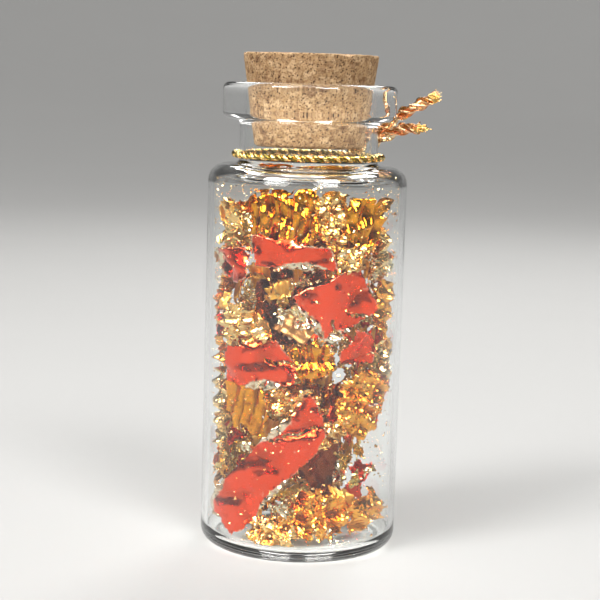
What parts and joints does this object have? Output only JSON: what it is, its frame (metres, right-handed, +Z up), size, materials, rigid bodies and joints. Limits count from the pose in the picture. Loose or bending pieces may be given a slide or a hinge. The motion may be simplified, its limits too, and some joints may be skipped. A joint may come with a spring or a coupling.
{
  "type": "gold sample vial",
  "caption": "Cork-stoppered clear glass vial filled with crumpled gold leaf, with a twisted metallic cord tied round its neck.",
  "frame": {"origin": "middle of the base, on the plane that the vial stands on", "axes": "+Z up along the vial's axis, through the cork; -Y is the front, and the cord's tails point towards +X"},
  "size_m": [0.0351, 0.03, 0.0744],
  "materials": {
    "clear_glass": "gloss",
    "cork": "matte",
    "gold_cord": "satin",
    "leaf_gold": "polished",
    "leaf_pale": "polished",
    "leaf_amber": "satin",
    "leaf_bronze": "satin"
  },
  "bodies": {
    "vial": {"vial_glass": "clear_glass", "leaf_crumple_top_left": "leaf_pale", "leaf_fan_top": "leaf_amber", "leaf_bright_top": "leaf_pale", "leaf_ruffle_top_right": "leaf_amber", "leaf_curl_top_right": "leaf_gold", "leaf_crumple_right": "leaf_pale", "leaf_strip_upper": "leaf_gold", "leaf_facet_bright": "leaf_pale", "leaf_sheet_upper_left": "leaf_amber", "leaf_hook": "leaf_gold", "leaf_pleats_dark": "leaf_bronze", "leaf_crumple_left": "leaf_pale", "leaf_sheet_right": "leaf_gold", "leaf_crumple_mid_right": "leaf_gold", "leaf_sheet_mid_left": "leaf_gold", "leaf_fold_amber": "leaf_amber", "leaf_crumple_right_low": "leaf_pale", "leaf_fan_right": "leaf_gold", "leaf_sheet_amber_left": "leaf_amber", "leaf_pleats_centre": "leaf_pale", "leaf_flake_centre": "leaf_pale", "leaf_strip_long": "leaf_gold", "leaf_sheet_dark": "leaf_bronze", "leaf_crumple_low": "leaf_gold", "leaf_flake_low_right": "leaf_gold", "leaf_crumple_floor": "leaf_pale", "leaf_crumple_low_left": "leaf_pale", "leaf_core_top": "leaf_amber", "leaf_core_middle": "leaf_amber", "leaf_core_low": "leaf_amber", "leaf_core_floor": "leaf_amber", "leaf_back_top_left": "leaf_gold", "leaf_back_top_right": "leaf_pale", "leaf_back_upper": "leaf_gold", "leaf_back_mid_left": "leaf_pale", "leaf_back_mid_right": "leaf_amber", "leaf_back_lower": "leaf_bronze", "leaf_back_low_left": "leaf_gold", "leaf_back_low_right": "leaf_pale", "leaf_side_right": "leaf_amber", "leaf_side_left": "leaf_gold", "leaf_crumple_left_upper": "leaf_pale", "leaf_crumple_left_mid": "leaf_gold", "leaf_ruffle_low_left": "leaf_amber", "leaf_sheet_right_mid": "leaf_gold", "leaf_back_side_right": "leaf_gold", "leaf_back_side_left": "leaf_pale", "leaf_back_floor": "leaf_amber", "leaf_back_centre": "leaf_pale", "gold_specks": "leaf_pale"},
    "stopper": {"cork_stopper": "cork"},
    "neck_cord": {"cord_loop": "gold_cord", "cord_knot": "gold_cord", "cord_tail_upper": "gold_cord", "cord_tail_lower": "gold_cord"}
  },
  "joints": [
    {"name": "stopper_pull", "type": "slide", "parent": "vial", "child": "stopper", "axis": [0, 0, 1], "range_m": [0, 0.025]},
    {"name": "cord_turn", "type": "hinge", "parent": "vial", "child": "neck_cord", "pos_m": [0, 0, 0.0593], "axis": [0, 0, 1], "continuous": true}
  ]
}
